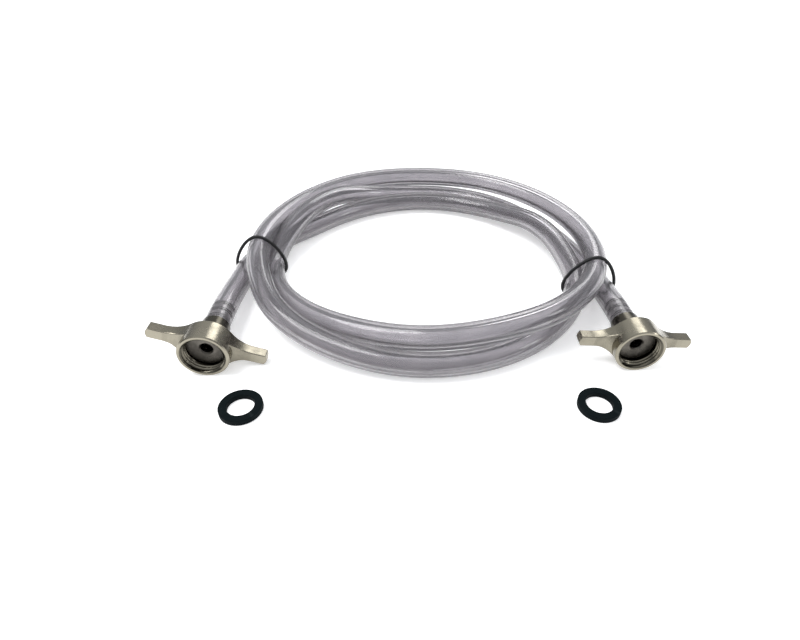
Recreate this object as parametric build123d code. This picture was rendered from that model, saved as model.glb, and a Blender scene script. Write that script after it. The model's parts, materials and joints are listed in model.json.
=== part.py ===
from build123d import *
import math
import os

os.makedirs("parts", exist_ok=True)

# Beverage jumper hose: a clear vinyl hose wound into a coil of two and a half turns, held by two
# elastic ties, with a barbed tailpiece and a wing nut on each end, and two loose sealing washers.
# Millimetres. +Z is up and the hose lies on Z = 0. The nuts open towards -Y.

# ---- hose ----
hose_diameter = 14.3
hose_bore_diameter = 7.94
coil_x = -2.0                      # centre of the coil
coil_front_y = -43.3               # the coil's nearest side
coil_inner_radius = 99.3           # centreline of the innermost bottom strand
strand_clearance = 0.05            # between neighbouring strands
top_strand_share = 0.75            # how far out the top strand lies, from the inner to the outer one

# ---- wing nut ----
thread_diameter = 22.22            # nominal size of a 7/8 inch, 14 per inch thread
thread_length = 6.3
thread_relief = 0.5                # radial, behind the thread
nut_wall = 2.49                    # round the thread
nut_length = 14.0
nut_neck_wall = 1.84               # round the tailpiece's neck
nut_neck_flare = 1.6               # how much wider the neck is where it meets the nut
nut_neck_length = 11.5
nut_mouth_chamfer = 0.6
nut_seat_length = 2.4              # from the end of the relief to the shoulder that pulls on the flange

# ---- wings of the nut ----
wing_span = 64.0
wing_height = 6.2
wing_depth = 6.2                   # the wings' backs are flush with the nut's back
wing_root_depth = 12.0
wing_root_radius = 18.0            # concave flare from the wing into the nut
wing_tip_bevel = 1.4
wing_edge_round = 0.45

# ---- tailpiece ----
flange_gap = 1.11                  # radial, flange in the thread
flange_thickness = 2.55
flange_play = 0.15                 # between the flange and the nut's shoulder
neck_diameter = 12.0
neck_running_gap = 0.06            # radial, nut on the tailpiece's neck
neck_show = 0.8                    # gap between the nut and the end of the hose
shank_wall = 0.8                   # of the tube that the barbs stand on
bore_chamfer = 0.7
barb_length = 17.0
barb_count = 3
barb_height = 0.55                 # radial, what each barb bites into the hose

# ---- sealing washer ----
washer_gap = 0.11                  # radial, washer in the thread
washer_inner_diameter = 13.8
washer_thickness = 3.2
washer_edge_round = 0.35

# ---- elastic tie ----
tie_thickness = 2.3
tie_gap = 0.15

# ---- sizes that follow from those above ----
nut_diameter = thread_diameter + 2 * nut_wall
nut_neck_diameter = neck_diameter + 2 * (neck_running_gap + nut_neck_wall)
nut_seat_depth = thread_length + thread_relief + nut_seat_length
flange_diameter = thread_diameter - 2 * flange_gap
bore_diameter = hose_bore_diameter - 2 * shank_wall
washer_outer_diameter = thread_diameter - 2 * washer_gap

hose_radius = hose_diameter / 2
strand_spacing = hose_diameter + strand_clearance
outer_strand_radius = coil_inner_radius + strand_spacing
coil_y = coil_front_y + outer_strand_radius + hose_radius
nut_axis_height = nut_diameter / 2

# ---- where the pieces lie ----
# Each "out" is a distance in X beyond the coil's outer strand, away from the coil's centre.
# The turn of the nut's axis and the roll of its wings are in degrees.
ends = {
    "left": {
        "side": -1,
        "mouth": (0.55, -33.1),
        "turn": 2.0,
        "roll": 19.0,
        "washer": (-23.65, -56.6),
        "tie": (3.35, 66.5),
    },
    "right": {
        "side": 1,
        "mouth": (4.55, -23.0),
        "turn": 3.0,
        "roll": 3.0,
        "washer": (-22.45, -50.6),
        "tie": (3.35, 47.0),
    },
}

# Route of each leg behind its fitting. The first run is along the fitting's axis and holds the
# barbs; then come (out, y, height of the centreline above its lowest).
leg_first_run = {"left": 15.5, "right": 12.5}
leg_points = {
    "left": [(2.95, 29.5, 3.9), (3.55, 49.5, 1.1), (3.35, 70.0, 0.0)],
    "right": [(2.25, 33.5, 3.6), (2.05, 50.5, 0.9), (-0.15, 68.0, 0.0)],
}


def place_x(end, out):
    """X of a point a distance out from the coil's outer strand, on that end's side."""
    return coil_x + end["side"] * (outer_strand_radius + out)


def nut_frame(end):
    """Frame on a nut's axis at its mouth: z runs back towards the hose, x along the wings."""
    turn = math.radians(end["turn"])
    back = Vector(-math.sin(turn), math.cos(turn), 0)
    across = Vector(math.cos(turn), math.sin(turn), 0)
    roll = math.radians(end["roll"])
    wing_direction = across * math.cos(roll) - Vector(0, 0, 1) * math.sin(roll)
    mouth = (place_x(end, end["mouth"][0]), end["mouth"][1], nut_axis_height)
    return Plane(origin=mouth, x_dir=wing_direction, z_dir=back)


def flare_outline(tip, half_width, root_radius, root_half_width, root_at, bevel):
    """Closed outline of both wings, symmetric about both axes, with concave flares."""
    flare_start = root_at + math.sqrt(root_radius**2 - (root_radius - root_half_width + half_width) ** 2)
    arc_centre_y = half_width + root_radius
    middle_x = (flare_start + root_at) / 2
    middle_y = arc_centre_y - math.sqrt(root_radius**2 - (flare_start - middle_x) ** 2)
    quarter = Polyline((tip, 0), (tip - bevel, half_width), (flare_start, half_width))
    flare = ThreePointArc((flare_start, half_width), (middle_x, middle_y), (root_at, root_half_width))
    top = Curve() + [quarter, flare, Line((root_at, root_half_width), (0, root_half_width))]
    right = top + mirror(top, Plane.XZ)
    whole = right + mirror(right, Plane.YZ)
    return make_face(whole.edges())


def wing_nut():
    """Wing nut along +Z from its mouth at Z = 0, wings along X."""
    radius = nut_diameter / 2
    # The flare leaves the nut's side at a tangent, seen along the axis.
    centre_y = wing_height / 2 + wing_root_radius
    centre_x = math.sqrt((radius + wing_root_radius) ** 2 - centre_y**2)
    share = radius / (radius + wing_root_radius)
    front = flare_outline(
        wing_span / 2,
        wing_height / 2,
        wing_root_radius,
        centre_y * share,
        centre_x * share,
        wing_tip_bevel,
    )
    plan = flare_outline(
        wing_span / 2,
        wing_depth / 2,
        wing_root_radius,
        wing_root_depth / 2,
        radius * 0.8,
        wing_tip_bevel / 3,
    )
    wing_middle = nut_length - wing_depth / 2
    bars = extrude(Plane.XY.offset(wing_middle) * front, wing_root_depth, both=True)
    plan_plane = Plane((0, 0, wing_middle), x_dir=(1, 0, 0), z_dir=(0, 1, 0))
    bars = bars & extrude(plan_plane * plan, radius, both=True)
    bars = split(bars, bisect_by=Plane.XY.offset(nut_length), keep=Keep.BOTTOM)
    tips = [e for e in bars.edges() if abs(e.center().X) > radius + 6 and e.length > 1]
    bars = fillet(tips, wing_edge_round)
    barrel = Cylinder(radius, nut_length, align=(Align.CENTER, Align.CENTER, Align.MIN))
    barrel = chamfer(barrel.edges().filter_by(GeomType.CIRCLE), nut_mouth_chamfer)
    neck_radius = nut_neck_diameter / 2
    neck = Pos(0, 0, nut_length) * Cone(
        neck_radius + nut_neck_flare / 2,
        neck_radius,
        nut_neck_length,
        align=(Align.CENTER, Align.CENTER, Align.MIN),
    )
    nut = barrel + bars + neck

    thread_radius = thread_diameter / 2
    relief_radius = thread_radius + thread_relief
    hole_radius = neck_diameter / 2 + neck_running_gap
    nut_end = nut_length + nut_neck_length
    cavity = Polyline(
        (0, 0),
        (thread_radius + nut_mouth_chamfer, 0),
        (thread_radius, nut_mouth_chamfer),
        (thread_radius, thread_length),
        (relief_radius, thread_length + thread_relief),
        (relief_radius, nut_seat_depth),
        (hole_radius, nut_seat_depth),
        (hole_radius, nut_end),
        (0, nut_end),
        close=True,
    )
    return nut - revolve(Plane.XZ * make_face(cavity), Axis.Z)


def tailpiece():
    """Barbed tailpiece on the same axis as the nut: flange in the nut, barbs in the hose."""
    flange_back = nut_seat_depth - flange_play
    flange_face = flange_back - flange_thickness
    neck_end = nut_length + nut_neck_length + neck_show
    shank_radius = hose_bore_diameter / 2
    barb_radius = shank_radius + barb_height
    bore_radius = bore_diameter / 2
    pitch = barb_length / barb_count
    outline = [
        (bore_radius + bore_chamfer, flange_face),
        (flange_diameter / 2, flange_face),
        (flange_diameter / 2, flange_back),
        (neck_diameter / 2, flange_back),
        (neck_diameter / 2, neck_end),
        (shank_radius, neck_end),
    ]
    for index in range(barb_count):
        start = neck_end + index * pitch
        outline.append((shank_radius, start + 0.45 * pitch))
        outline.append((barb_radius, start + 0.45 * pitch))
        outline.append((shank_radius, start + pitch))
    outline.append((bore_radius, neck_end + barb_length))
    outline.append((bore_radius, flange_face + bore_chamfer))
    return revolve(Plane.XZ * make_face(Polyline(*outline, close=True)), Axis.Z)


def washer(end):
    """Flat sealing washer lying on the floor."""
    ring = Cylinder(washer_outer_diameter / 2, washer_thickness)
    ring = ring - Cylinder(washer_inner_diameter / 2, washer_thickness)
    ring = fillet(ring.edges().filter_by(GeomType.CIRCLE), washer_edge_round)
    out, y = end["washer"]
    return Pos(place_x(end, out), y, washer_thickness / 2) * ring


def strand_stack():
    """Centres (radius, height) of the three strands that the ties hold together."""
    low = hose_radius
    high = low + strand_spacing * math.sqrt(1 - (1 - top_strand_share) ** 2)
    return [
        (coil_inner_radius, low),
        (outer_strand_radius, low),
        (coil_inner_radius + strand_spacing * top_strand_share, high),
    ]


def coil():
    """Outer shape of the wound turns: the rounded triangle round the strands, turned about Z."""
    corners = [(radius, 0, height) for radius, height in strand_stack()]
    triangle = make_face(Polyline(*corners, close=True))
    profile = offset(triangle, hose_radius, kind=Kind.ARC)
    return Pos(coil_x, coil_y, 0) * revolve(profile, Axis.Z)


def elastic_tie(end):
    """Round elastic cord pulled round the strands and the leg, in a plane square to Y."""
    out, tie_y = end["tie"]
    reach = hose_radius + tie_gap + tie_thickness / 2
    offset_y = tie_y - coil_y
    low = tie_thickness / 2 + reach
    inner, _, top = [
        (coil_x + end["side"] * math.sqrt(radius**2 - offset_y**2), height)
        for radius, height in strand_stack()
    ]
    corners = [
        (inner[0], tie_y, low),
        (place_x(end, out), tie_y, low),
        (top[0], tie_y, top[1]),
    ]
    triangle = make_face(Polyline(*corners, close=True))
    loop = offset(triangle, reach, kind=Kind.ARC).face().outer_wire()
    start = loop @ 0
    section = Plane(origin=start, z_dir=loop % 0) * Circle(tie_thickness / 2)
    return sweep(section, path=loop)


def leg(name):
    """Hose from the tailpiece to the coil: straight runs joined by tangent arcs."""
    end = ends[name]
    frame = nut_frame(end)
    start = frame.origin + frame.z_dir * (nut_length + nut_neck_length + neck_show)
    points = [start, start + frame.z_dir * leg_first_run[name]]
    points += [Vector(place_x(end, out), y, hose_radius + rise) for out, y, rise in leg_points[name]]
    runs = [(b - a).length for a, b in zip(points, points[1:])]
    radii = []
    for before, corner, after in zip(points, points[1:], points[2:]):
        half_turn = math.radians((corner - before).get_angle(after - corner)) / 2
        shorter = min((corner - before).length, (after - corner).length)
        radii.append(0.45 * shorter / math.tan(half_turn))
    path = FilletPolyline(*points, radius=radii)
    section = Plane(origin=path @ 0, z_dir=path % 0)
    tube = sweep(section * (Circle(hose_radius) - Circle(hose_bore_diameter / 2)), path=path)
    expected = math.pi * (hose_radius**2 - (hose_bore_diameter / 2) ** 2) * path.length
    print(
        f"hose_leg_{name}: length {path.length:.1f}, runs {[round(r, 1) for r in runs]}, "
        f"radii {[round(r, 1) for r in radii]}, volume {tube.volume:.0f} of {expected:.0f}"
    )
    return tube


parts = {"hose_coil": coil()}
for side_name, side_end in ends.items():
    place = nut_frame(side_end).location
    parts[f"wing_nut_{side_name}"] = place * wing_nut()
    parts[f"tailpiece_{side_name}"] = place * tailpiece()
    parts[f"washer_{side_name}"] = washer(side_end)
    parts[f"elastic_tie_{side_name}"] = elastic_tie(side_end)
    parts[f"hose_leg_{side_name}"] = leg(side_name)

for node, shape in parts.items():
    print(node, len(shape.solids()), round(shape.volume, 1), shape.is_valid)
    export_step(shape, f"parts/{node}.step")
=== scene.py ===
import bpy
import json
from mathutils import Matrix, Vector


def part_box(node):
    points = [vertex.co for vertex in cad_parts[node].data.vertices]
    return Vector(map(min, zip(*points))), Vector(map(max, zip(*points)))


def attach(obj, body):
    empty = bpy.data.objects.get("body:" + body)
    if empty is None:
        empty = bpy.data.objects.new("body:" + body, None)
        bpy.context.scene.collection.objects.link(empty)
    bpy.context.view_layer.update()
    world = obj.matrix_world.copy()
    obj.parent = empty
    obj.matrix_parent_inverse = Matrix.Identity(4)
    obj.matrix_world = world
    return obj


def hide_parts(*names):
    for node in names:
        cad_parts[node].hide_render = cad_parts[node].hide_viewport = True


bl_info = {
    "name": "Beverage jumper hose",
    "version": (1, 0, 0),
    "blender": (4, 5, 0),
    "location": "3D View > Sidebar > Jumper hose",
    "description": "Builds the looks of a coiled clear hose with two wing nuts, washers and ties",
    "category": "Add Mesh",
}

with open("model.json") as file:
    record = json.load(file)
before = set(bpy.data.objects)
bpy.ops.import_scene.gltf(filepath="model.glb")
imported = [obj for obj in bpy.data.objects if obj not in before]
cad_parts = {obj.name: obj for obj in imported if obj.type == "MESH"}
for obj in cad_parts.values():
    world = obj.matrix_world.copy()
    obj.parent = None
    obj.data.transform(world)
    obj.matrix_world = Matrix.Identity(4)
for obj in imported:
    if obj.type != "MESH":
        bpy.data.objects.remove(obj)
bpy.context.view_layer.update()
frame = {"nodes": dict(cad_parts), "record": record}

import json
import math

import bpy
from mathutils import Matrix, Vector

SIDES = ("left", "right")
MM = 0.001

# ---- the hose's route, in metres and degrees ----
COIL_CENTRE = Vector((-0.002, 0.0775, 0.0))

# From each fitting to the coil: points after the hose's end, each (x, y, height of the centreline).
LEG_FIRST_RUN = {"left": 0.0155, "right": 0.0125}
LEG_POINTS = {
    "left": ((-0.1186, 0.0295, 0.01105), (-0.1192, 0.0495, 0.00825), (-0.1190, 0.0700, 0.00715)),
    "right": ((0.1139, 0.0335, 0.01075), (0.1137, 0.0505, 0.00805), (0.1115, 0.0680, 0.00715)),
}

# Where the turns lie: (angle round the coil, radius in mm, height in mm), from the left leg
# clockwise seen from above. The loop in coil_points makes the points between them. The values
# come from a fitting program, rounded to 0.1 mm, and some were then moved.
COIL_WAYPOINTS = (
    (185, 117.0, 7.5), (174, 110.5, 7.2), (163, 102.7, 7.2), (152, 95.5, 7.2), (140, 92.5, 7.5),
    (125, 91.5, 7.8), (108, 91.7, 8.0), (90, 92.5, 8.2), (75, 92.3, 8.6), (60, 91.3, 9.8),
    (45, 90.7, 12.4), (30, 92.4, 16.0), (15, 94.0, 16.4), (0, 97.6, 13.3), (-17, 104.0, 9.6),
    (-45, 106.0, 7.4), (-90, 106.6, 7.2), (-115, 106.9, 9.2), (-140, 110.0, 14.8),
    (-160, 108.4, 19.7), (-174, 108.4, 21.4), (-190, 108.2, 21.4), (-205, 110.6, 20.0),
    (-220, 113.8, 19.3), (-240, 115.7, 20.0), (-270, 112.8, 21.2), (-300, 113.2, 21.9),
    (-350, 114.0, 21.4), (-377, 113.4, 22.0), (-400, 109.2, 22.5), (-425, 101.2, 20.7),
    (-450, 96.3, 17.3), (-475, 93.5, 13.7), (-500, 95.7, 10.1), (-520, 99.2, 7.6),
    (-534, 100.6, 8.4), (-545, 98.8, 12.6), (-556, 96.0, 18.4), (-568, 95.6, 21.8),
    (-580, 98.2, 21.3), (-592, 101.7, 18.6), (-605, 104.3, 12.8), (-620, 106.7, 8.4),
    (-640, 107.4, 7.9), (-660, 106.4, 7.8), (-680, 103.9, 7.3), (-698, 104.4, 7.2),
    (-712, 107.3, 7.2), (-725, 113.8, 7.2), (-737, 120.5, 7.3),
)
COIL_START = 174                     # degrees, just past the left tie
COIL_END = -715                      # degrees, just before the right leg
COIL_STEP = 7                        # degrees between the spline's points

HOSE_SIDES = 48
TIE_SIDES = 16
TIE_STEPS = 240                      # points worked out round a tie
TIE_SPREAD = 22                      # steps over which a tie bulges between strands
TIE_STANDOFF = 0.62                  # middle of the cord from the hose, in tie thicknesses
TIE_SPACING = 0.0003                 # closest that two points of a tie may be

# ---- thread inside each nut ----
RIDGE_START = 0.0006                 # first ridge behind the mouth
RIDGE_LENGTH = 0.0057                # along the axis, first ridge to last
RIDGE_STEPS_PER_TURN = 72
RIDGE_FADE_STEPS = 20
RIDGE_PROFILE = ((-0.46, 0.06), (-0.14, -0.86), (0.0, -1.0), (0.14, -0.86), (0.46, 0.06))  # pitches, depths

# ---- where the metal's colour changes, in metres: edges of the painted shade on the nuts and tailpieces ----
RAMP_REACH = 0.1                     # largest distance that a colour ramp can tell
NECK_SHADE_EDGE = (0.0138, 0.0146)         # behind the mouth
FACE_SHADE_EDGE = (0.0100, 0.0140)        # behind the thread's middle
VALLEY_SHADE_INNER_EDGE = (0.0104, 0.01096)  # from the axis
VALLEY_SHADE_OUTER_EDGE = (0.01176, 0.01192)

# ---- floor, lights and camera ----
FLOOR_HALF_SIZE = 12.0
LIGHT_TARGET = Vector((0, 0.05, 0.01))
PANELS = (                           # name, place, width, share of the key light's power
    ("key_panel", (-0.50, 0.05, 1.0), 0.6, 1.0),
    ("back_panel", (0.35, 1.2, 0.9), 0.6, 0.5),
    ("side_panel", (1.1, -0.3, 0.6), 0.3, 0.2),
)
# The camera's values come from a fitting program too.
CAMERA_PLACE = (-0.004, -0.2375, 0.1994)
CAMERA_TILT = 52.03                  # degrees up from straight down
CAMERA_ROLL = 1.03                   # degrees
CAMERA_SENSOR = 36.0
CAMERA_LENS = 23.73
CAMERA_SHIFT = (-0.02245, 0.0015)
CAMERA_CLIP = (0.01, 60.0)


# =====================================================================================
# Sizes and colours that a user would change
# =====================================================================================


class HoseSettings(bpy.types.PropertyGroup):
    """Clear hose."""

    diameter: bpy.props.FloatProperty(
        name="Outer diameter",
        description="Outside of the hose",
        default=0.0143, min=0.004, unit="LENGTH",
    )
    bore: bpy.props.FloatProperty(
        name="Bore", description="Inside of the hose", default=0.00794, min=0.002, unit="LENGTH"
    )
    length: bpy.props.FloatProperty(
        name="Length",
        description="Length of the hose, end to end",
        default=1.80, min=0.3, unit="LENGTH",
    )
    tint: bpy.props.FloatVectorProperty(
        name="Tint",
        description="Colour of the vinyl",
        default=(0.42, 0.405, 0.42), size=3, subtype="COLOR",
    )
    haze: bpy.props.FloatVectorProperty(
        name="Haze",
        description="Colour of the cloudier streaks",
        default=(0.30, 0.29, 0.305), size=3, subtype="COLOR",
    )


class NutSettings(bpy.types.PropertyGroup):
    """Wing nuts and tailpieces."""

    pitch: bpy.props.FloatProperty(
        name="Thread pitch",
        description="From one ridge to the next",
        default=0.001814, min=0.0005, unit="LENGTH",
    )
    ridge: bpy.props.FloatProperty(
        name="Thread depth",
        description="How far a ridge stands in",
        default=0.0009, min=0.0002, unit="LENGTH",
    )
    plate: bpy.props.FloatVectorProperty(
        name="Nickel plate",
        description="Colour of the plated nuts",
        default=(0.26, 0.24, 0.19), size=3, subtype="COLOR",
    )
    # the tailpieces' colour, kept dark as painted shade on the flange inside the nut
    turned: bpy.props.FloatVectorProperty(
        name="Turned metal",
        description="Colour of the tailpieces",
        default=(0.13, 0.12, 0.105), size=3, subtype="COLOR",
    )


class RubberSettings(bpy.types.PropertyGroup):
    """Washers and ties."""

    washer: bpy.props.FloatVectorProperty(
        name="Washer rubber",
        description="Colour of the washers",
        default=(0.003, 0.006, 0.007), size=3, subtype="COLOR",
    )
    elastic: bpy.props.FloatVectorProperty(
        name="Elastic",
        description="Colour of the ties",
        default=(0.010, 0.010, 0.011), size=3, subtype="COLOR",
    )
    tie: bpy.props.FloatProperty(
        name="Tie thickness",
        description="Across one elastic cord",
        default=0.0021, min=0.0005, unit="LENGTH",
    )


class StageSettings(bpy.types.PropertyGroup):
    """Floor and lights."""

    floor: bpy.props.FloatVectorProperty(
        name="Floor",
        description="Colour of the floor",
        default=(0.94, 0.94, 0.94), size=3, subtype="COLOR",
    )
    key: bpy.props.FloatProperty(
        name="Key light", description="Power of the main panel", default=9.0, min=0.0, unit="POWER"
    )
    sky: bpy.props.FloatProperty(
        name="Room light",
        description="Strength of the light from all round",
        default=0.85, min=0.0,
    )


# =====================================================================================
# Shader maths
# =====================================================================================


class Value:
    """A shader socket that can be used in Python expressions."""

    def __init__(self, shader, socket):
        self.shader = shader
        self.socket = socket

    def math(self, operation, first, second):
        return self.shader.node("ShaderNodeMath", {"operation": operation}, {0: first, 1: second})

    def __add__(self, other):
        return self.math("ADD", self, other)

    def __sub__(self, other):
        return self.math("SUBTRACT", self, other)

    def __rsub__(self, other):
        return self.math("SUBTRACT", other, self)

    def __mul__(self, other):
        return self.math("MULTIPLY", self, other)

    def __truediv__(self, other):
        return self.math("DIVIDE", self, other)

    __radd__ = __add__
    __rmul__ = __mul__


class Nodes:
    """A node tree, with one method for every node."""

    def __init__(self, tree):
        self.tree = tree

    def put(self, socket, value):
        if isinstance(value, Value):
            self.tree.links.new(value.socket, socket)
        else:
            socket.default_value = value

    def node(self, kind, settings=None, inputs=None, output=0):
        """Adds a node: its settings first, then the values or links of its sockets."""
        made = self.tree.nodes.new(kind)
        for name, value in (settings or {}).items():
            if name == "stops":
                for element, (place, level) in zip(made.color_ramp.elements, value):
                    element.position = place
                    element.color = (level, level, level, 1.0)
            else:
                setattr(made, name, value)
        for name, value in (inputs or {}).items():
            self.put(made.inputs[name], value)
        return Value(self, made.outputs[output])

    def blend(self, factor, first, second):
        """Colour between two colours."""
        settings = {"data_type": "RGBA"}
        return self.node("ShaderNodeMix", settings, {0: factor, 6: first, 7: second}, output=2)

    def contrast(self, value, low, high):
        """0 below low, 1 above high."""
        return self.node("ShaderNodeValToRGB", {"stops": ((low, 0.0), (high, 1.0))}, {"Fac": value})

    def beyond(self, distance, edge):
        """0 nearer than the edge's first distance, 1 past its second, in metres."""
        low, high = edge
        return self.contrast(distance / RAMP_REACH, low / RAMP_REACH, high / RAMP_REACH)


class Shader(Nodes):
    """One material's nodes round its Principled shader."""

    def __init__(self, name, **constants):
        self.material = bpy.data.materials.new(name)
        self.material.use_nodes = True
        super().__init__(self.material.node_tree)
        self.surface = self.tree.nodes["Principled BSDF"]
        self.feed(**constants)

    def feed(self, **inputs):
        """Sets or links the Principled shader's sockets, named with underscores."""
        for name, value in inputs.items():
            self.put(self.surface.inputs[name.replace("_", " ")], value)

    def place(self):
        """Where a point is on the piece at rest, in metres."""
        return self.node("ShaderNodeTexCoord", output=3)

    def noise(self, vector, scale, detail=3.0, roughness=0.5):
        inputs = {"Vector": vector, "Scale": scale, "Detail": detail, "Roughness": roughness}
        return self.node("ShaderNodeTexNoise", inputs=inputs)

    def attribute(self, name):
        return self.node("ShaderNodeAttribute", {"attribute_name": name}, output=2)

    def vector(self, x, y, z):
        return self.node("ShaderNodeCombineXYZ", inputs={0: x, 1: y, 2: z})

    def vector_math(self, operation, *values, output=0):
        return self.node("ShaderNodeVectorMath", {"operation": operation}, dict(enumerate(values)), output)

    def worn_edges(self, low, high):
        """1 on the piece's outer edges, 0 on its flats and in its hollows."""
        return self.contrast(self.node("ShaderNodeNewGeometry", output=7), low, high)

    def radius_from(self, point, direction):
        """Distance of a point on the piece from an axis, in metres."""
        offset = self.vector_math("SUBTRACT", self.place(), point)
        return self.vector_math("LENGTH", self.vector_math("CROSS_PRODUCT", offset, direction), output=1)

    def depth_behind(self, point, direction):
        """How far a point on the piece lies behind another, against a direction, in metres."""
        offset = self.vector_math("SUBTRACT", point, self.place())
        return self.vector_math("DOT_PRODUCT", offset, direction, output=1)

    def sine(self, value):
        return self.node("ShaderNodeMath", {"operation": "SINE"}, {0: value})

    def bump(self, height, depth, strength=1.0):
        """Raises the surface by height times depth, in metres."""
        inputs = {"Strength": strength, "Distance": depth, "Height": height}
        self.feed(Normal=self.node("ShaderNodeBump", inputs=inputs))


def opaque(colour):
    return (*colour, 1.0)


def shade(colour, share):
    """A lighter or darker version of a colour."""
    return opaque(min(1.0, channel * share) for channel in colour)


def vinyl_material(settings):
    """Clear flexible vinyl: faint extrusion streaks along the hose and a little haze."""
    shader = Shader("clear_vinyl", Transmission_Weight=0.85, IOR=1.42)
    along = shader.attribute("along")
    around = shader.attribute("around")
    streaks = shader.noise(shader.vector(along * 6.0, around * 9.0, 0.0), 1.0, 4.0)
    cloud = shader.noise(shader.place(), 45.0, 2.0)
    haze = shader.contrast(streaks * 0.6 + cloud * 0.4, 0.42, 0.66)
    shader.feed(
        Base_Color=shader.blend(haze, opaque(settings.tint), opaque(settings.haze)),
        Roughness=haze * 0.06 + 0.10,
    )
    shader.bump(streaks, 0.00004)
    return shader.material


def bore_material():
    """Wall of the bore, a little rougher than the outside."""
    shader = Shader("vinyl_bore", Transmission_Weight=0.96, IOR=1.5)
    cloud = shader.noise(shader.place(), 60.0, 3.0)
    shader.feed(
        Base_Color=shader.blend(cloud, (0.74, 0.72, 0.75, 1.0), (0.82, 0.80, 0.83, 1.0)),
        Roughness=cloud * 0.06 + 0.06,
    )
    return shader.material


def plate_material(name, settings, mouth, direction):
    """Nickel over cast metal: casting ripple, duller patches, polished edges, and painted shade on the rear
    neck and in the thread's valleys.
    """
    shader = Shader(name, Metallic=1.0)
    place = shader.place()
    patches = shader.contrast(shader.noise(place, 120.0, 4.0), 0.38, 0.68)
    grain = shader.noise(place, 1500.0, 2.0)
    ripple = shader.noise(place, 260.0, 2.0)
    # painted shade: a dark copy of the plate, used on the rear neck and in the thread's valleys
    painted_shade_colour = shade(settings.plate, 0.30)
    colour = shader.blend(patches, opaque(settings.plate), shade(settings.plate, 0.74))
    colour = shader.blend(shader.worn_edges(0.50, 0.58) * 0.6, colour, shade(settings.plate, 1.25))
    # painted shade in the thread's valleys, a band of radius inside the nut
    radius = shader.radius_from(mouth, direction)
    valley_shade = shader.beyond(radius, VALLEY_SHADE_INNER_EDGE) * (1 - shader.beyond(radius, VALLEY_SHADE_OUTER_EDGE))
    colour = shader.blend(valley_shade * 0.85, colour, painted_shade_colour)
    # painted shade on the nut's rear neck, behind the mouth
    neck_shade = shader.beyond(shader.depth_behind(mouth, direction), NECK_SHADE_EDGE)
    shader.feed(
        Base_Color=shader.blend(neck_shade, colour, painted_shade_colour),
        Roughness=patches * 0.10 + grain * 0.08 + 0.16,
    )
    shader.bump(ripple * 0.8 + grain * 0.2, 0.00012)
    return shader.material


def turned_material(name, settings, point, direction):
    """Turned metal: fine rings round the axis; the flange inside the nut painted dark as shade, the barbed
    shank lighter.
    """
    shader = Shader(name, Metallic=1.0)
    place = shader.place()
    rings = shader.sine(shader.radius_from(point, direction) * 21000.0) * 0.5 + 0.5
    stain = shader.contrast(shader.noise(place, 200.0, 3.0), 0.40, 0.70)
    face = shader.blend(stain, opaque(settings.turned), shade(settings.turned, 0.62))
    # painted shade: dark on the flange inside the nut, lighter on the shank behind it
    shank_out_of_shade = shader.beyond(shader.depth_behind(point, direction), FACE_SHADE_EDGE)
    shader.feed(
        Base_Color=shader.blend(shank_out_of_shade, face, (0.62, 0.60, 0.60, 1.0)),
        Roughness=rings * 0.08 + stain * 0.12 + 0.22,
    )
    shader.bump(rings, 0.00002)
    return shader.material


def rubber_material(settings):
    """Moulded rubber: fine pitted skin, with dusty worn edges."""
    shader = Shader("washer_rubber", Specular_IOR_Level=0.04)
    place = shader.place()
    pits = shader.noise(place, 2200.0, 3.0)
    dust = shader.contrast(shader.noise(place, 320.0, 4.0), 0.50, 0.78)
    edge = shader.worn_edges(0.51, 0.60)
    colour = shader.blend(dust * 0.5, opaque(settings.washer), (0.007, 0.011, 0.012, 1.0))
    shader.feed(
        Base_Color=shader.blend(edge * 0.5, colour, (0.016, 0.022, 0.023, 1.0)),
        Roughness=pits * 0.16 + dust * 0.12 + 0.55,
    )
    shader.bump(pits, 0.00006)
    return shader.material


def elastic_material(settings):
    """Braided elastic cord: two sets of threads that cross round it."""
    shader = Shader("braided_elastic", Specular_IOR_Level=0.4)
    along = shader.attribute("along")
    around = shader.attribute("around")
    one_way = shader.sine(along * 5200.0 + around * 37.7)
    other_way = shader.sine(along * 5200.0 - around * 37.7)
    braid = one_way * other_way * 0.5 + 0.5
    shader.feed(
        Base_Color=shader.blend(braid, (0.004, 0.004, 0.005, 1.0), opaque(settings.elastic)),
        Roughness=0.66 - braid * 0.16,
    )
    shader.bump(braid, 0.00008)
    return shader.material


def floor_material(settings):
    """Pale, matt paper."""
    shader = Shader("pale_floor", Roughness=0.9, Specular_IOR_Level=0.1, Emission_Strength=0.45)
    fibre = shader.noise(shader.place(), 4.0, 3.0)
    colour = shader.blend(fibre, opaque(settings.floor), shade(settings.floor, 0.985))
    shader.feed(Base_Color=colour, Emission_Color=colour)
    return shader.material


# =====================================================================================
# Shapes
# =====================================================================================


def new_piece(name, vertices, faces, material, smooth=True):
    mesh = bpy.data.meshes.new(name)
    mesh.from_pydata([tuple(v) for v in vertices], [], faces)
    mesh.materials.append(material)
    mesh.polygons.foreach_set("use_smooth", [smooth] * len(mesh.polygons))
    mesh.update()
    piece = bpy.data.objects.new(name, mesh)
    bpy.context.scene.collection.objects.link(piece)
    return piece


def coat(node, material):
    """Gives a CAD part its material."""
    mesh = frame["nodes"][node].data
    mesh.materials.clear()
    mesh.materials.append(material)


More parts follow.
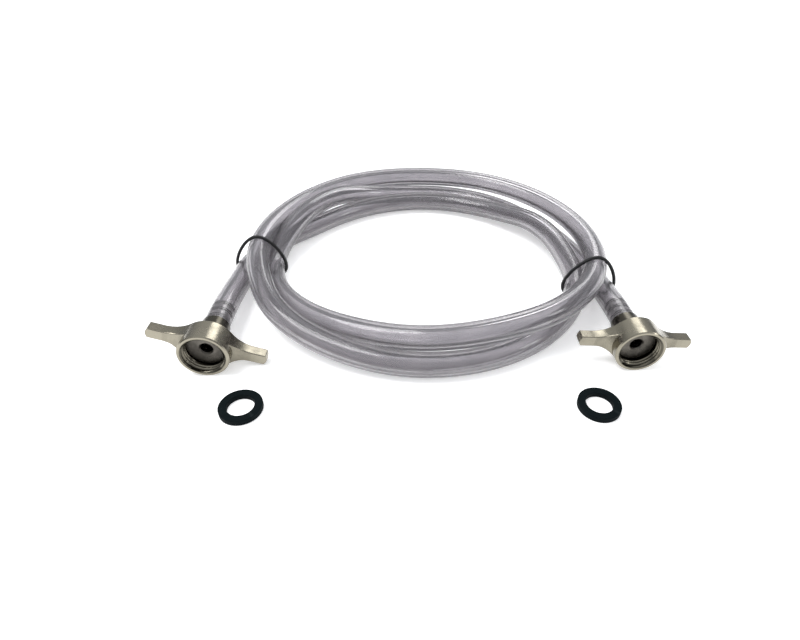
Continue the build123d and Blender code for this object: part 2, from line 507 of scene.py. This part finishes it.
def tube_rings(points, radius, sides, closed=False):
    """Rings round a line, carried along it without twist. Also each ring's distance along."""
    count = len(points)
    last = count - 1
    tangents = []
    for index in range(count):
        after = points[(index + 1) % count] if closed else points[min(index + 1, last)]
        before = points[index - 1] if closed else points[max(index - 1, 0)]
        tangents.append((after - before).normalized())
    normal = tangents[0].orthogonal().normalized()
    rings = []
    distances = []
    travelled = 0.0
    for index in range(count):
        if index:
            travelled += (points[index] - points[index - 1]).length
            normal = tangents[index - 1].rotation_difference(tangents[index]) @ normal
        across = tangents[index].cross(normal)
        distances.append(travelled)
        ring = []
        for side in range(sides):
            angle = math.tau * side / sides
            ring.append(points[index] + (normal * math.cos(angle) + across * math.sin(angle)) * radius)
        rings.append(ring)
    return rings, distances


def ring_faces(ring_count, sides, closed=False, inward=False):
    faces = []
    for ring in range(ring_count if closed else ring_count - 1):
        first = ring * sides
        second = (ring + 1) % ring_count * sides
        for side in range(sides):
            after = (side + 1) % sides
            face = (first + side, second + side, second + after, first + after)
            faces.append(face if inward else face[::-1])
    return faces


def mark_tube(piece, distances, sides, extra=0):
    """Stores how far along and how far round each vertex of a tube is."""
    along = [distance for distance in distances for _ in range(sides)]
    around = [side / sides for _ in distances for side in range(sides)]
    for name, values in (("along", along), ("around", around)):
        layer = piece.data.attributes.new(name, "FLOAT", "POINT")
        layer.data.foreach_set("value", values + [values[-1]] * extra)


def smooth_value(waypoints, column, angle):
    """Value of a column at an angle, on a smooth line through the waypoints."""
    after = 1
    while after < len(waypoints) - 1 and waypoints[after][0] > angle:
        after += 1
    before = after - 1

    def slope(index):
        low = max(index - 1, 0)
        high = min(index + 1, len(waypoints) - 1)
        return (waypoints[high][column] - waypoints[low][column]) / (waypoints[high][0] - waypoints[low][0])

    span = waypoints[after][0] - waypoints[before][0]
    t = (angle - waypoints[before][0]) / span
    start = waypoints[before][column]
    end = waypoints[after][column]
    return (
        (2 * t**3 - 3 * t**2 + 1) * start
        + (t**3 - 2 * t**2 + t) * span * slope(before)
        + (3 * t**2 - 2 * t**3) * end
        + (t**3 - t**2) * span * slope(after)
    )


def coil_points():
    """Control points of the turns. The spline cuts inside its points, so they stand out a little."""
    widen = 1 / math.cos(math.radians(COIL_STEP / 2))
    points = []
    for angle in range(COIL_START, COIL_END - 1, -COIL_STEP):
        radius = smooth_value(COIL_WAYPOINTS, 1, angle) * MM * widen
        height = smooth_value(COIL_WAYPOINTS, 2, angle) * MM
        turned = math.radians(angle)
        points.append(COIL_CENTRE + Vector((radius * math.cos(turned), radius * math.sin(turned), height)))
    return points


def thread_mount(side):
    return next(mount for mount in frame["record"]["mounts"] if mount["name"] == f"{side}_thread")


def nut_axis(side):
    """A point on the nut's axis and the direction in which the nut opens."""
    mount = thread_mount(side)
    return Vector(mount["pos_m"]), Vector(mount["axis"]).normalized()


def reach_along(node, point, direction):
    """How far a part goes along a direction, measured from a point."""
    return max((Vector(v.co) - point).dot(direction) for v in frame["nodes"][node].data.vertices)


def nut_mouth(side):
    """Middle of the nut's open end, on its axis."""
    point, direction = nut_axis(side)
    return point + direction * reach_along(f"wing_nut_{side}", point, direction)


def hose_end(side):
    """Where the hose starts behind the nut, on the nut's axis."""
    point, direction = nut_axis(side)
    return point + direction * reach_along(f"hose_leg_{side}", point, direction)


def leg_points(side):
    """From the hose's end to the coil."""
    _, direction = nut_axis(side)
    start = hose_end(side)
    return [start, start - direction * LEG_FIRST_RUN[side]] + [Vector(p) for p in LEG_POINTS[side]]


def hose_line():
    """Points along the hose's centreline, read from a smooth spline through its route."""
    route = leg_points("left") + coil_points() + leg_points("right")[::-1]
    curve = bpy.data.curves.new("hose_route", "CURVE")
    curve.dimensions = "3D"
    curve.resolution_u = 5
    spline = curve.splines.new("NURBS")
    spline.points.add(len(route) - 1)
    for control, point in zip(spline.points, route):
        control.co = (*point, 1.0)
    spline.order_u = 3
    spline.use_endpoint_u = True
    guide = bpy.data.objects.new("hose_route", curve)
    bpy.context.scene.collection.objects.link(guide)
    bpy.context.view_layer.update()
    traced = bpy.data.meshes.new_from_object(guide)
    points = [v.co.copy() for v in traced.vertices]
    bpy.data.meshes.remove(traced)
    bpy.data.objects.remove(guide)
    bpy.data.curves.remove(curve)
    return points


def thread_ridge(name, side, settings, material):
    """The ridge that runs round inside the nut, fading in at the mouth and out at the relief."""
    _, direction = nut_axis(side)
    wall = thread_mount(side)["dims"]["r_mm"] * MM
    mouth = nut_mouth(side)
    first = direction.orthogonal().normalized()
    second = direction.cross(first)
    steps = int(RIDGE_LENGTH / settings.pitch * RIDGE_STEPS_PER_TURN)
    vertices = []
    for step in range(steps + 1):
        angle = math.tau * step / RIDGE_STEPS_PER_TURN
        outward = first * math.cos(angle) + second * math.sin(angle)
        depth = RIDGE_START + settings.pitch * step / RIDGE_STEPS_PER_TURN
        fade = min(1.0, step / RIDGE_FADE_STEPS, (steps - step) / RIDGE_FADE_STEPS)
        for shift, rise in RIDGE_PROFILE:
            reach = wall + rise * settings.ridge * (fade if rise < 0 else 1.0)
            vertices.append(mouth - direction * (depth + shift * settings.pitch) + outward * reach)
    width = len(RIDGE_PROFILE)
    faces = []
    for step in range(steps):
        for index in range(width - 1):
            corner = step * width + index
            faces.append((corner, corner + 1, corner + width + 1, corner + width))
    faces.append(tuple(range(width))[::-1])
    faces.append(tuple(steps * width + index for index in range(width)))
    return new_piece(name, vertices, faces, material)


def strand_centres(line, plane_y, side):
    """Where the hose's centreline passes through a plane square to Y, on one side of the coil."""
    sign = -1 if side == "left" else 1
    found = []
    for before, after in zip(line, line[1:]):
        if (before.y - plane_y) * (after.y - plane_y) <= 0 and before.y != after.y and before.x * sign > 0:
            share = (plane_y - before.y) / (after.y - before.y)
            found.append(before.lerp(after, share))
    return found


def tie_loop(centres, plane_y, reach, thickness):
    """Closed line round circles of radius reach, bulging a little between them, above the floor."""
    middle = sum(centres, Vector()) / len(centres)

    def outward(step):
        angle = math.tau * step / TIE_STEPS
        return Vector((math.cos(angle), 0, math.sin(angle)))

    tight = [max((c - middle).dot(outward(step)) for c in centres) for step in range(TIE_STEPS)]
    weights = [TIE_SPREAD - abs(shift) for shift in range(-TIE_SPREAD, TIE_SPREAD + 1)]
    support = []
    for step in range(TIE_STEPS):
        near = [tight[(step + shift) % TIE_STEPS] for shift in range(-TIE_SPREAD, TIE_SPREAD + 1)]
        support.append(reach + sum(w * h for w, h in zip(weights, near)) / sum(weights))
    points = []
    for step in range(TIE_STEPS):
        slope = (support[(step + 1) % TIE_STEPS] - support[step - 1]) * TIE_STEPS / (2 * math.tau)
        normal = outward(step)
        tangent = Vector((-normal.z, 0, normal.x))
        point = middle + normal * support[step] + tangent * slope
        points.append(Vector((point.x, plane_y, max(point.z, thickness / 2))))
    spaced = [points[0]]
    for point in points[1:] + points[:1]:
        if (point - spaced[-1]).length > TIE_SPACING:
            spaced.append(point)
    return spaced[:-1]


# =====================================================================================
# Operators: one for each group of pieces
# =====================================================================================


class HOSE_OT_clear_hose(bpy.types.Operator):
    """Make the clear hose, with its bore, along its coiled route"""

    bl_idname = "jumper.clear_hose"
    bl_label = "Clear hose"

    def execute(self, context):
        settings = context.scene.jumper_hose
        line = hose_line()
        sides = HOSE_SIDES
        rings, distances = tube_rings(line, settings.diameter / 2, sides)
        hose = new_piece(
            "hose",
            [vertex for ring in rings for vertex in ring],
            ring_faces(len(rings), sides),
            vinyl_material(settings),
        )
        mark_tube(hose, distances, sides)

        bore_rings, _ = tube_rings(line, settings.bore / 2, sides)
        rims = [rings[0], rings[-1]]
        vertices = [vertex for ring in bore_rings for vertex in ring] + [v for rim in rims for v in rim]
        faces = ring_faces(len(bore_rings), sides, inward=True)
        wall = len(bore_rings) * sides
        for end, ring_start in enumerate((0, wall - sides)):
            rim_start = wall + end * sides
            for side in range(sides):
                after = (side + 1) % sides
                face = (ring_start + side, ring_start + after, rim_start + after, rim_start + side)
                faces.append(face if end == 0 else face[::-1])
        bore = new_piece("hose_bore", vertices, faces, bore_material())
        mark_tube(bore, distances, sides, extra=2 * sides)

        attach(hose, "hose")
        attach(bore, "hose")
        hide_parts("hose_coil", "hose_leg_left", "hose_leg_right")
        return {"FINISHED"}


class HOSE_OT_wing_nuts(bpy.types.Operator):
    """Plate both wing nuts and cut their threads"""

    bl_idname = "jumper.wing_nuts"
    bl_label = "Wing nuts"

    def execute(self, context):
        settings = context.scene.jumper_nuts
        for side in SIDES:
            _, direction = nut_axis(side)
            material = plate_material(f"nickel_plate_{side}", settings, nut_mouth(side), direction)
            coat(f"wing_nut_{side}", material)
            ridge = thread_ridge(f"thread_{side}", side, settings, material)
            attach(ridge, f"{side}_nut")
        return {"FINISHED"}


class HOSE_OT_tailpieces(bpy.types.Operator):
    """Give both tailpieces their turned finish"""

    bl_idname = "jumper.tailpieces"
    bl_label = "Tailpieces"

    def execute(self, context):
        settings = context.scene.jumper_nuts
        for side in SIDES:
            point, direction = nut_axis(side)
            coat(f"tailpiece_{side}", turned_material(f"turned_metal_{side}", settings, point, direction))
        return {"FINISHED"}


class HOSE_OT_washers(bpy.types.Operator):
    """Give the loose sealing washers their rubber"""

    bl_idname = "jumper.washers"
    bl_label = "Sealing washers"

    def execute(self, context):
        material = rubber_material(context.scene.jumper_rubber)
        for side in SIDES:
            coat(f"washer_{side}", material)
        return {"FINISHED"}


class HOSE_OT_elastic_ties(bpy.types.Operator):
    """Pull an elastic tie round the strands on each side"""

    bl_idname = "jumper.elastic_ties"
    bl_label = "Elastic ties"

    def execute(self, context):
        settings = context.scene.jumper_rubber
        material = elastic_material(settings)
        hose_radius = context.scene.jumper_hose.diameter / 2
        line = hose_line()
        for side in SIDES:
            node = f"elastic_tie_{side}"
            low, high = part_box(node)
            plane_y = (low.y + high.y) / 2
            centres = strand_centres(line, plane_y, side)
            if len(centres) != 3:
                raise RuntimeError(f"the {side} tie holds {len(centres)} strands, not 3")
            reach = hose_radius + settings.tie * TIE_STANDOFF
            loop = tie_loop(centres, plane_y, reach, settings.tie)
            rings, distances = tube_rings(loop, settings.tie / 2, TIE_SIDES, closed=True)
            tie = new_piece(
                f"tie_{side}",
                [vertex for ring in rings for vertex in ring],
                ring_faces(len(rings), TIE_SIDES, closed=True),
                material,
            )
            mark_tube(tie, distances, TIE_SIDES)
            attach(tie, "hose")
            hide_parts(node)
        return {"FINISHED"}


class HOSE_OT_stage(bpy.types.Operator):
    """Lay the floor and set the lights and the camera"""

    bl_idname = "jumper.stage"
    bl_label = "Floor, lights and camera"

    def execute(self, context):
        settings = context.scene.jumper_stage
        half = FLOOR_HALF_SIZE
        corners = [(-half, -half, 0), (half, -half, 0), (half, half, 0), (-half, half, 0)]
        floor = new_piece("floor", corners, [(0, 1, 2, 3)], floor_material(settings), smooth=False)

        world = bpy.data.worlds.new("studio")
        world.use_nodes = True
        sky = Nodes(world.node_tree)
        direction = sky.node("ShaderNodeTexCoord", output=0)
        upward = sky.node("ShaderNodeSeparateXYZ", inputs={0: direction}, output=2)
        glow = sky.contrast(upward, 0.05, 0.75)
        background = world.node_tree.nodes["Background"]
        sky.put(background.inputs["Color"], sky.blend(glow, (0.30, 0.31, 0.33, 1.0), (0.95, 0.97, 1.0, 1.0)))
        background.inputs["Strength"].default_value = settings.sky
        context.scene.world = world
        context.scene.view_settings.view_transform = "Standard"

        for name, place, width, share in PANELS:
            data = bpy.data.lights.new(name, "AREA")
            data.shape = "SQUARE"
            data.size = width
            data.energy = settings.key * share
            panel = bpy.data.objects.new(name, data)
            panel.location = place
            aim = LIGHT_TARGET - Vector(place)
            panel.rotation_euler = aim.to_track_quat("-Z", "Y").to_euler()
            context.scene.collection.objects.link(panel)

        camera_data = bpy.data.cameras.new("camera")
        camera_data.sensor_width = CAMERA_SENSOR
        camera_data.lens = CAMERA_LENS
        camera_data.shift_x, camera_data.shift_y = CAMERA_SHIFT
        camera_data.clip_start, camera_data.clip_end = CAMERA_CLIP
        camera = bpy.data.objects.new("camera", camera_data)
        tilt = Matrix.Rotation(math.radians(CAMERA_TILT), 4, "X")
        roll = Matrix.Rotation(math.radians(CAMERA_ROLL), 4, "Z")
        camera.matrix_world = Matrix.Translation(CAMERA_PLACE) @ tilt @ roll
        context.scene.collection.objects.link(camera)
        context.scene.camera = camera
        return {"FINISHED"}


OPERATORS = (
    HOSE_OT_clear_hose,
    HOSE_OT_wing_nuts,
    HOSE_OT_tailpieces,
    HOSE_OT_washers,
    HOSE_OT_elastic_ties,
    HOSE_OT_stage,
)


class HOSE_PT_panel(bpy.types.Panel):
    """Lists the pieces of the hose and their sizes"""

    bl_idname = "HOSE_PT_panel"
    bl_label = "Jumper hose"
    bl_space_type = "VIEW_3D"
    bl_region_type = "UI"
    bl_category = "Jumper hose"

    def draw(self, context):
        for name, settings_class in SETTINGS.items():
            box = self.layout.box()
            for prop in settings_class.__annotations__:
                box.prop(getattr(context.scene, name), prop)
        for operator in OPERATORS:
            self.layout.operator(operator.bl_idname)


SETTINGS = {
    "jumper_hose": HoseSettings,
    "jumper_nuts": NutSettings,
    "jumper_rubber": RubberSettings,
    "jumper_stage": StageSettings,
}


def register():
    for name, settings_class in SETTINGS.items():
        bpy.utils.register_class(settings_class)
        setattr(bpy.types.Scene, name, bpy.props.PointerProperty(type=settings_class))
    for item in (*OPERATORS, HOSE_PT_panel):
        bpy.utils.register_class(item)


def unregister():
    for item in (HOSE_PT_panel, *reversed(OPERATORS)):
        bpy.utils.unregister_class(item)
    for name, settings_class in reversed(SETTINGS.items()):
        delattr(bpy.types.Scene, name)
        bpy.utils.unregister_class(settings_class)


def main():
    register()
    bpy.ops.jumper.clear_hose()
    bpy.ops.jumper.wing_nuts()
    bpy.ops.jumper.tailpieces()
    bpy.ops.jumper.washers()
    bpy.ops.jumper.elastic_ties()
    bpy.ops.jumper.stage()


if __name__ == "__main__":
    main()
